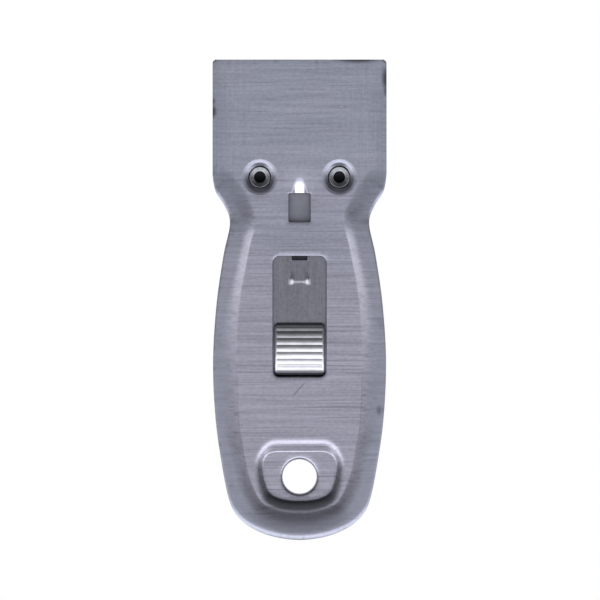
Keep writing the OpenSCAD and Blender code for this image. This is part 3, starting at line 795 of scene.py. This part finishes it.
def carrierHeight(points):
    c = carrier
    t = (points[:, 1] - c["joggleBack"]) / (c["joggleFront"] - c["joggleBack"])
    strip = c["plateTop"] + (c["trayTop"] - c["plateTop"]) * pressCurve(t, 0.3, 0.3)
    return strip + tongueRaise(points)


def carrierPoints(loops):
    c = carrier
    grid = gridOf(np.arange(-c["gridHalf"], c["gridHalf"] + 0.1, c["side"]),
                  np.arange(c["gridBack"], c["gridFront"], c["side"]))
    fine = gridOf(np.arange(-c["fineHalf"], c["fineHalf"] + 0.01, c["fine"]),
                  np.arange(c["tongueBack"] - c["fineBack"], c["tongueFront"], c["fine"]))
    sides = []
    for offset in (-0.5, -0.25, 0, 0.25, 0.5):
        y = np.arange(c["tongueBack"] - 1, c["tongueFront"], c["shearStep"])
        line = np.stack([np.full(len(y), c["tongueHalf"] + offset * c["shear"]), y], axis=1)
        sides += [line, mirrored(line)]
    rows = np.linspace(c["joggleBack"] - c["bendPast"], c["joggleFront"] + c["bendPast"], c["bendRows"])
    columns = np.linspace(-c["gridHalf"], c["gridHalf"], c["bendColumns"])
    bend = gridOf(columns, rows)
    groups = [(np.vstack(sides), c["shearGap"]), (fine, c["fineGap"]),
              (bend, c["fineGap"]), (grid, c["gridGap"])]
    ready = []
    for points, gap in groups:
        keep = inside(points, loops[0]) & ~inside(points, loops[1])
        ready.append((points[keep], gap))
    return spread(ready, np.vstack(loops))


def addLugs(body):
    c = carrier
    for side in (-1, 1):
        inner, outer = side * (c["trayHalf"] - c["lugDepth"]), side * c["trayHalf"]
        low, high = c["lugY"] - c["lugWidth"] / 2, c["lugY"] + c["lugWidth"] / 2
        box = [[inner, low], [outer, low], [outer, high], [inner, high]]
        loop = softCorners(box, [c["lugCorner"]] * 4, 4)
        middle = loop.mean(axis=0)
        top = middle + (loop - middle) * c["lugTopShare"]
        rings = [addPoints(body, loop, c["trayTop"] - c["lugRoot"]),
                 addPoints(body, loop, c["lugTop"] - c["lugEdge"]), addPoints(body, top, c["lugTop"])]
        for a, b in zip(rings[:-1], rings[1:]):
            addStrip(body, a, b)
        body["faces"] += [tuple(rings[0][::-1]), tuple(rings[-1])]


def carrierBody():
    loops = [carrierOutline(), gateOutline()]
    flat, faces, rings = triangulate(loops, carrierPoints(loops))
    body = newBody()
    height = carrierHeight(flat)
    upper, lower = addCover(body, flat, faces, height, height - carrier["thickness"])
    for ring in rings:
        addStrip(body, upper[ring], lower[ring])
    addLugs(body)
    return body


# Thumb button: a smooth pressed cap, whose grooves are sunk by nodes

button = {
    "half": 6.23, "back": -18.32, "length": 12.9, "corner": 1.4, "base": 4.0, "rise": 2.6,
    "backRise": 1.79, "backRun": 1.9, "backEdge": 0.62, "frontRun": 1.3, "crest": 7.4,
    "side": 0.9, "sideEdge": 0.4, "edge": 0.08, "edgeShare": 0.8,
    "wall": 0.6, "wallShare": 0.9, "topWall": 0.9, "topClear": 0.02, "footClear": 0.01,
    "firstGroove": 2.7, "groovePitch": 1.65, "grooveCount": 6, "grooveDepth": 0.1, "grooveEnd": 5.25,
    "grooveFade": 0.4, "grooveRise": 0.9,
    # how fine its mesh is, in mm and in rows
    "fine": 0.1, "fineWidth": 1.0, "coarse": 0.35, "rows": 200, "least": 0.045,
}


def buttonLoop(grow):
    front = button["back"] + button["length"]
    return roundedBox(button["half"], button["back"], front, button["corner"], grow, 10)


def buttonHeight(points):
    b = button
    u = points[:, 1] - b["back"]
    crown = b["rise"] - (b["rise"] - b["backRise"]) * ((u - b["crest"]) / (b["crest"] - b["backRun"])) ** 2
    low = 1 - (1 - b["backEdge"]) * (1 - np.clip(u / b["backRun"], 0, 1)) ** 2
    high = np.sqrt(np.clip(1 - (1 - np.clip((b["length"] - u) / b["frontRun"], 0, 1)) ** 2, 0, 1))
    inset = np.clip((b["half"] - np.abs(points[:, 0])) / b["side"], 0, 1)
    side = b["sideEdge"] + (1 - b["sideEdge"]) * np.sqrt(1 - (1 - inset) ** 2)
    return b["base"] + crown * low * high * side


def buttonBody():
    b = button
    outer = buttonLoop(-b["edge"])
    front = b["back"] + b["length"]
    wide = 2 * b["half"]
    across = np.concatenate([np.arange(b["fine"], b["fineWidth"], b["fine"]),
                             np.arange(b["fineWidth"], wide - b["fineWidth"] + 0.05, b["coarse"])])
    across = np.concatenate([across, wide - across]) - b["half"]
    grid = gridOf(across, np.linspace(b["back"], front, b["rows"]))
    points = spread([(grid[inside(grid, outer)], b["least"])], outer)
    flat, faces, rings = triangulate([outer], points)
    body = newBody()
    height = buttonHeight(flat)
    within = np.maximum(height - b["topWall"], b["base"] + b["topClear"])
    upper, lower = addCover(body, flat, faces, height, within)
    top = body["verts"][upper[rings[0]]][:, 2]
    drop = np.minimum(b["edge"], (top - b["base"]) * b["edgeShare"])
    turns = [math.radians(15 * k) for k in range(1, 7)]
    sides = [(buttonLoop(-b["edge"] * (1 - math.sin(a))), top - drop * (1 - math.cos(a))) for a in turns]
    sides += [(buttonLoop(grow), b["base"] + b["footClear"]) for grow in (0, -b["wall"] * b["wallShare"])]
    addStrip(body, addRings(body, upper[rings[0]], sides), lower[rings[0]])
    return body


def grooveTree(material):
    # sinks each point of the cap by the depth of the groove that it lies in
    labels = ["First", "Pitch", "Count", "Depth", "Back", "End", "Base", "Fade", "Rise"]
    tree, add, given = newTree("pressedGrooves", labels)
    place = add("GeometryNodeInputPosition")
    parts = add("SeparateXYZ", [place], take=None)
    start = add("Math", [given["Back"], given["First"]], operation="ADD")
    along = add("Math", [parts["Y"], start], operation="SUBTRACT")
    steps = add("Math", [along, given["Pitch"]], operation="DIVIDE")
    turn = add("Math", [steps, math.pi], operation="MULTIPLY")
    wave = add("Math", [turn], operation="SINE")
    rib = add("Math", [wave], operation="ABSOLUTE")
    sunk = add("Math", [rib, 1.0], operation="SUBTRACT")
    late = add("Math", [given["Count"], 0.5], operation="SUBTRACT")
    early = add("Math", [steps, -0.5], operation="GREATER_THAN")
    before = add("Math", [steps, late], operation="LESS_THAN")
    aside = add("Math", [parts["X"]], operation="ABSOLUTE")
    fade = add("Math", [given["End"], given["Fade"]], operation="ADD")
    edge = add("MapRange", [aside, given["End"], fade, 1.0, 0.0], interpolation_type="SMOOTHSTEP")
    top = add("Math", [given["Base"], given["Rise"]], operation="ADD")
    high = add("MapRange", [parts["Z"], given["Base"], top], interpolation_type="SMOOTHSTEP")
    drop = add("Math", [sunk, given["Depth"]], operation="MULTIPLY")
    for share in (early, before, edge, high):
        drop = add("Math", [drop, share], operation="MULTIPLY")
    offset = add("CombineXYZ", {"Z": drop})
    moved = add("GeometryNodeSetPosition", {"Geometry": given["Geometry"], "Offset": offset})
    closeTree(add, moved, material)
    return tree


# Materials

def startMaterial(name):
    material = bpy.data.materials.new(name)
    material.use_nodes = True
    tree = material.node_tree
    tree.nodes.clear()
    add = partial(addNode, tree)
    return material, add, add("TexCoord", take="Object")


def closeMaterial(add, links):
    metal = add("BsdfPrincipled", {"Metallic": 1.0, **links})
    add("OutputMaterial", {"Surface": metal})


def grain(add, place, size, detail=3.0):
    # noise drawn out to a real size in mm along x, y and z
    scale = [1 / (s * mm) for s in size]
    stretched = add("Mapping", {"Vector": place, "Scale": scale})
    pattern = {"Vector": stretched, "Scale": 1.0, "Detail": detail, "Roughness": 0.55}
    return add("TexNoise", pattern, take="Fac")


def brushStreaks(add, place, parts, fine):
    # brush lines across the sheet; the sides of the head are also brushed lengthways
    broad = grain(add, place, (45, 1.5, 1.5), 2.0)
    across = add("Mix", {0: 0.45, 2: fine, 3: broad}, data_type="FLOAT")
    aside = add("Math", [parts["X"]], operation="ABSOLUTE")
    outer = add("MapRange", [aside, 9 * mm, 15 * mm, 0, 0.35])
    onHead = add("MapRange", [parts["Y"], 24 * mm, 32 * mm])
    share = add("Math", [outer, onHead], operation="MULTIPLY")
    along = grain(add, place, (0.5, 16, 0.5))
    return add("Mix", {0: share, 2: across, 3: along}, data_type="FLOAT")


def sheetTone(add, place, along, streak):
    # streaks and mottling in grey, tinted in clouds: bluer on the head, more violet on the handle
    mottle = grain(add, place, (0.9, 0.6, 0.6), 2.0)
    speckled = add("Mix", {0: 0.3, 2: streak, 3: mottle}, data_type="FLOAT")
    tone = add("ValToRGB", [speckled], ramp=[(0.3, "#8c8e9b"), (0.7, "#b3b5c4")])
    cloud = grain(add, place, (19, 12, 12), 2.0)
    head = add("MapRange", [along, -5 * mm, 38 * mm, -0.25, 0.25])
    blue = add("Math", [cloud, head], operation="ADD")
    tint = add("ValToRGB", [blue], ramp=[(0.25, "#fffafc"), (0.75, "#f9fbff")])
    return add("Mix", {0: 1.0, 6: tone, 7: tint}, take=2, data_type="RGBA", blend_type="MULTIPLY")


def deepLines(add, place, along):
    # deeper brush lines, most of them on the handle
    lines = add("MapRange", [grain(add, place, (40, 0.55, 0.55), 2.0), 0.53, 0.7, 0, 0.4])
    deep = add("MapRange", [along, 5 * mm, 25 * mm, 1.0, 0.35])
    return add("Math", [lines, deep], operation="MULTIPLY")


def darkerRim(add, along, onRim):
    # the rim is painted darker and bluer than the panel, more so towards the tail
    low = add("MapRange", [along, 5 * mm, -20 * mm, 0.35, 0.6])
    return add("Math", [onRim, low], operation="MULTIPLY")


def paintedSlopeHighlight(add, along, onRim):
    # a highlight is painted on the rim's slope beside the slot
    slope = add("ValToRGB", [onRim], ramp=[(0.0, 0), (0.05, 0.28), (0.3, 0.21), (0.65, 0)])
    slotPart = add("MapRange", [along, -20 * mm, 20 * mm])
    beside = add("ValToRGB", [slotPart], ramp=[(0.0, 0), (0.45, 0.6), (0.85, 1), (0.93, 0)])
    return add("Math", [slope, beside], operation="MULTIPLY")


def rimFootShade(add, along, onRim):
    # a thin line of painted shade lies in the crease along the foot of the rim, towards the tail
    foot = add("ValToRGB", [onRim], ramp=[(0.0, 0), (0.03, 0.18), (0.06, 0.18), (0.12, 0)])
    back = add("MapRange", [along, -14 * mm, -22 * mm])
    return add("Math", [foot, back], operation="MULTIPLY")


def edgeTouches(add, place):
    # finger marks along the outer edge
    nearEdge = add("Attribute", take="Fac", attribute_name="edge")
    marks = add("MapRange", [grain(add, place, (1.6, 2.4, 2.4)), 0.56, 0.72, 0, 0.3])
    return add("Math", [marks, nearEdge], operation="MULTIPLY")


def slotScratch(add, place, up):
    # one slanting scratch below the slot, on the front only
    middle = (-0.12 * mm, -21.25 * mm, 0)
    turned = add("Mapping", {"Vector": place, "Location": middle, "Rotation": (0, 0, 0.86)},
                 vector_type="TEXTURE")
    away = add("VectorMath", [turned], operation="ABSOLUTE")
    beside = add("SeparateXYZ", [away], take=None)
    long = add("MapRange", [beside["X"], 2.5 * mm, 1.4 * mm, 0, 0.4])
    thin = add("MapRange", [beside["Y"], 0.22 * mm, 0.08 * mm])
    front = add("MapRange", [up, 3 * mm, 4 * mm])
    line = add("Math", [long, thin], operation="MULTIPLY")
    return add("Math", [line, front], operation="MULTIPLY")


def shellSteel():
    # Stainless sheet, brushed across: streaks along x, clouds of blue and violet grey, grime along the edges,
    # and painted shade and painted highlights on its slopes and hollows.
    # Real brush lines are about 0.05 mm apart; these are 0.4 mm, so that they show.
    material, add, place = startMaterial("brushedStainlessSheet")
    parts = add("SeparateXYZ", [place], take=None)
    along = parts["Y"]
    fine = grain(add, place, (12, 0.36, 0.36))
    streak = brushStreaks(add, place, parts, fine)
    onRim = add("Attribute", take="Fac", attribute_name="rim")
    # where a highlight is painted on the stop lip
    paintedHighlight = add("Attribute", take="Fac", attribute_name="paintedHighlight")
    # dark marks together with painted shade in the dishes, on the recess's back wall, in the rim's crease and
    # inside the head's sides
    marksAndShade = add("Attribute", take="Fac", attribute_name="darkening")
    marks = [edgeTouches(add, place), rimFootShade(add, along, onRim), slotScratch(add, place, parts["Z"])]
    for mark in marks:
        marksAndShade = add("Math", [marksAndShade, mark], operation="MAXIMUM")
    # layers: deep brush lines, the rim painted darker, a painted highlight on the rim's slope, dark marks
    # with painted shade, the stop lip's painted highlight
    layers = [(deepLines(add, place, along), "#5f616e"), (darkerRim(add, along, onRim), "#858a99"),
              (paintedSlopeHighlight(add, along, onRim), "#d6d2d8"), (marksAndShade, "#36373b"), (paintedHighlight, "#dcdde2")]
    color = sheetTone(add, place, along, streak)
    for share, tone in layers:
        color = add("Mix", {0: share, 6: color, 7: tone}, take=2, data_type="RGBA")
    dull = add("MapRange", [fine, 0, 1, 0.24, 0.36])
    relief = add("Bump", {"Height": streak, "Strength": 0.35, "Distance": 0.03 * mm})
    closeMaterial(add, {"Base Color": color, "Roughness": dull, "Normal": relief})
    return material


def insideSteel():
    # The same sheet inside, as it left the mill: even, painted darker as the shade inside the shell, with a
    # patch of painted shade where the carrier runs
    material, add, place = startMaterial("shadedInsideSheet")
    film = grain(add, place, (3, 2, 2))
    tone = add("ValToRGB", [film], ramp=[(0.3, "#797c86"), (0.7, "#858893")])
    along = add("SeparateXYZ", [place], take="Y")
    # a patch of painted shade under the carrier, seen through the lance hole
    paintedShade = add("MapRange", [along, 17 * mm, 13 * mm], interpolation_type="SMOOTHSTEP")
    shaded = add("Mix", {0: paintedShade, 6: tone, 7: "#44464c"}, take=2, data_type="RGBA")
    dull = add("MapRange", [film, 0, 1, 0.34, 0.44])
    closeMaterial(add, {"Base Color": shaded, "Roughness": dull})
    return material


def tongueHighlight(add, place):
    # a highlight is painted on the corners of the latch tongue's bend
    parts = add("SeparateXYZ", [place], take=None)
    bend = carrier["tongueBack"] * mm
    along = add("Math", [parts["Y"], bend], operation="SUBTRACT")
    around = add("Math", [along], operation="ABSOLUTE")
    nearBend = add("MapRange", [around, 0.9 * mm, 0.4 * mm])
    aside = add("Math", [parts["X"]], operation="ABSOLUTE")
    width = add("MapRange", [aside, 0, 3 * mm])
    within = add("ValToRGB", [width], ramp=[(0.0, 0), (0.4, 0), (0.65, 1), (0.8, 1), (0.95, 0)])
    corner = add("Math", [nearBend, within], operation="MULTIPLY")
    return add("MapRange", [corner, 0, 1, 0, 0.8])


def springSteel():
    # Cold-rolled spring strip, ground along its travel: streaks along y, darker than the sheet, with a
    # painted highlight at the tongue's bend
    material, add, place = startMaterial("groundSpringSteel")
    fine = grain(add, place, (0.4, 4, 0.4))
    broad = grain(add, place, (1.2, 20, 1.2), 2.0)
    mottle = grain(add, place, (0.7, 0.7, 0.7), 2.0)
    streak = add("Mix", {0: 0.4, 2: fine, 3: broad}, data_type="FLOAT")
    streak = add("Mix", {0: 0.4, 2: streak, 3: mottle}, data_type="FLOAT")
    tone = add("ValToRGB", [streak], ramp=[(0.3, "#666771"), (0.7, "#81828b")])
    paintedHighlight = tongueHighlight(add, place)
    highlighted = add("Mix", {0: paintedHighlight, 6: tone, 7: "#b4b5be"}, take=2, data_type="RGBA")
    relief = add("Bump", {"Height": streak, "Strength": 0.5, "Distance": 0.03 * mm})
    closeMaterial(add, {"Base Color": highlighted, "Roughness": 0.3, "Normal": relief})
    return material


def rivetSteel():
    # Drawn rivet steel, mottled in tone and dullness, with black painted as the shade down the bore
    material, add, place = startMaterial("drawnRivetSteel")
    film = grain(add, place, (0.8, 0.8, 0.8))
    tone = add("ValToRGB", [film], ramp=[(0.3, "#6b6d73"), (0.7, "#86888e")])
    aside = add("VectorMath", [place], operation="ABSOLUTE")
    flat = add("VectorMath", [aside, (1, 1, 0)], operation="MULTIPLY")
    middle = (dish["x"] * mm, dish["y"] * mm, 0)
    away = add("VectorMath", [flat, middle], take="Value", operation="DISTANCE")
    within = add("MapRange", [away, rivet["shadeFrom"] * mm, rivet["shadeTo"] * mm])
    up = add("SeparateXYZ", [place], take="Z")
    below = add("MapRange", [up, 4.1 * mm, 3.85 * mm])
    # black painted as shade inside the bore, below the clinched ring's funnel
    bore = add("Math", [within, below], operation="MULTIPLY")
    boreShaded = add("Mix", {0: bore, 6: tone, 7: "#17171a"}, take=2, data_type="RGBA")
    dull = add("MapRange", [film, 0, 1, 0.18, 0.32])
    relief = add("Bump", {"Height": film, "Strength": 0.2, "Distance": 0.04 * mm})
    closeMaterial(add, {"Base Color": boreShaded, "Roughness": dull, "Normal": relief})
    return material


def plainMetal(name, size, dark, light, dullFrom, dullTo, relief=0.0):
    # one metal with marks of a real size in mm, in two tones
    material, add, place = startMaterial(name)
    marks = grain(add, place, size)
    tone = add("ValToRGB", [marks], ramp=[(0.3, dark), (0.7, light)])
    dull = add("MapRange", [marks, 0, 1, dullFrom, dullTo])
    links = {"Base Color": tone, "Roughness": dull}
    if relief:
        links["Normal"] = add("Bump", {"Height": marks, "Strength": relief, "Distance": 0.02 * mm})
    closeMaterial(add, links)
    return material


# Stage: pale floor, soft light from the tail's side, camera straight above

stage = {
    "floorSize": 12.0, "floorDrop": 0.1, "lens": 400, "sensor": 36, "frame": 142.8,
    "middle": (0.105, -0.06, 4.5),
    "lightShares": [
        (0.0, 0.1), (0.05, 0.12), (0.1, 0.22), (0.15, 0.7), (0.19, 0.97), (0.23, 1.0), (0.3, 0.82),
        (0.38, 0.58), (0.45, 0.36), (0.5, 0.215), (0.57, 0.175), (0.65, 0.11), (0.74, 0.05),
        (0.85, 0.045), (1.0, 0.08)],
    "sideShares": [(0.0, 1.0), (0.75, 1.0), (0.92, 0.6), (1.0, 0.4)],
    "lightStrength": 3.0, "lowFrom": 0.15, "lowTo": 0.6, "lowShare": 0.2,
}


def makeFloor():
    # white where it is seen, and only pale where it lights the scraper
    size, low = stage["floorSize"] / 2, -stage["floorDrop"] * mm
    mesh = bpy.data.meshes.new("floor")
    corners = [(-size, -size, low), (size, -size, low), (size, size, low), (-size, size, low)]
    mesh.from_pydata(corners, [], [(0, 1, 2, 3)])
    material = bpy.data.materials.new("paleFloor")
    material.use_nodes = True
    tree = material.node_tree
    tree.nodes.clear()
    add = partial(addNode, tree)
    path = add("LightPath", take=None)
    seen = path["Is Camera Ray"]
    for ray in ("Is Glossy Ray", "Is Transmission Ray"):
        seen = add("Math", [seen, path[ray]], operation="MAXIMUM")
    matt = add("BsdfDiffuse", {"Color": "#e6e6e6"})
    glow = add("Emission", {"Color": "#ffffff", "Strength": 1.0})
    mixed = add("MixShader", [seen, matt, glow])
    add("OutputMaterial", {"Surface": mixed})
    mesh.materials.append(material)
    floor = bpy.data.objects.new("floor", mesh)
    bpy.context.scene.collection.objects.link(floor)


def makeLight():
    # one soft light: its level goes by the way along y, falls off to the sides and is low near the horizon
    world = bpy.data.worlds.new("softLight")
    bpy.context.scene.world = world
    world.use_nodes = True
    tree = world.node_tree
    tree.nodes.clear()
    add = partial(addNode, tree)
    way = add("TexCoord", take="Generated")
    parts = add("SeparateXYZ", [way], take=None)
    along = add("MapRange", [parts["Y"], -1.0, 1.0])
    aside = add("Math", [parts["X"]], operation="ABSOLUTE")
    level = add("ValToRGB", [along], ramp=stage["lightShares"])
    fall = add("ValToRGB", [aside], ramp=stage["sideShares"])
    light = add("Math", [level, fall], operation="MULTIPLY")
    most = add("MapRange", [parts["Z"], stage["lowFrom"], stage["lowTo"], stage["lowShare"]])
    light = add("Math", [light, most], operation="MINIMUM")
    sky = add("Background", {"Color": light, "Strength": stage["lightStrength"]})
    add("OutputWorld", {"Surface": sky})


def makeCamera():
    camera = bpy.data.objects.new("camera", bpy.data.cameras.new("camera"))
    camera.data.lens = stage["lens"]
    camera.data.sensor_width = stage["sensor"]
    away = stage["frame"] * stage["lens"] / stage["sensor"]
    x, y, z = stage["middle"]
    camera.location = (x * mm, y * mm, (z + away) * mm)
    bpy.context.scene.collection.objects.link(camera)
    bpy.context.scene.camera = camera


shellFinishes = [shellSteel(), insideSteel()]
frontShell = makePiece("frontShell", pressedHalf(True), shellFinishes)
seat(frontShell, "handle", "shell_steel", "front_shell")
backShell = makePiece("backShell", turnOver(pressedHalf(False)), shellFinishes)
seat(backShell, "handle", "shell_steel", "back_shell")

rivetFinish = rivetSteel()
rivets = makePiece("rivets", rivetBody(), [rivetFinish])
runTree(rivets, rivetTree(rivetFinish), {"Spacing": 2 * dish["x"] * mm, "Distance": dish["y"] * mm})
seat(rivets, "handle", "rivet_steel", "left_rivet", "right_rivet")

bladeCarrier = makePiece("bladeCarrier", carrierBody(), [springSteel()])
pressIn(bladeCarrier)
seat(bladeCarrier, "carrier", "spring_steel", "blade_carrier")

# Nickel-plated pressed steel: polished, with faint rubbing marks from the thumb
buttonFinish = plainMetal("polishedNickelPlate", (3, 0.8, 0.8), "#9fa0a7", "#b0b1b8", 0.13, 0.21)
thumbButton = makePiece("thumbButton", buttonBody(), [buttonFinish], 50)
runTree(thumbButton, grooveTree(buttonFinish), {
    "First": button["firstGroove"] * mm, "Pitch": button["groovePitch"] * mm,
    "Count": float(button["grooveCount"]), "Depth": button["grooveDepth"] * mm,
    "Back": button["back"] * mm, "End": button["grooveEnd"] * mm, "Base": button["base"] * mm,
    "Fade": button["grooveFade"] * mm, "Rise": button["grooveRise"] * mm})
pressIn(thumbButton)
seat(thumbButton, "carrier", "bright_steel", "thumb_button")

# Hardened carbon steel, ground across, with fine lines along the edge
bladeFinish = plainMetal("groundBladeSteel", (9, 0.3, 0.3), "#9fa4aa", "#c6cacf", 0.24, 0.24, 0.3)
# Rolled strip folded on the blade: a little duller, marked along its length
spineFinish = plainMetal("rolledSpineSteel", (20, 0.4, 0.4), "#9a9b9f", "#bdbec2", 0.34, 0.34)
for node, material in (("razor_blade", bladeFinish), ("blade_spine", spineFinish)):
    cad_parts[node].material_slots[0].material = material
print("materials on the blade and its spine")

makeFloor()
makeLight()
makeCamera()
bpy.context.scene.view_settings.view_transform = "Standard"
print("stage ready")
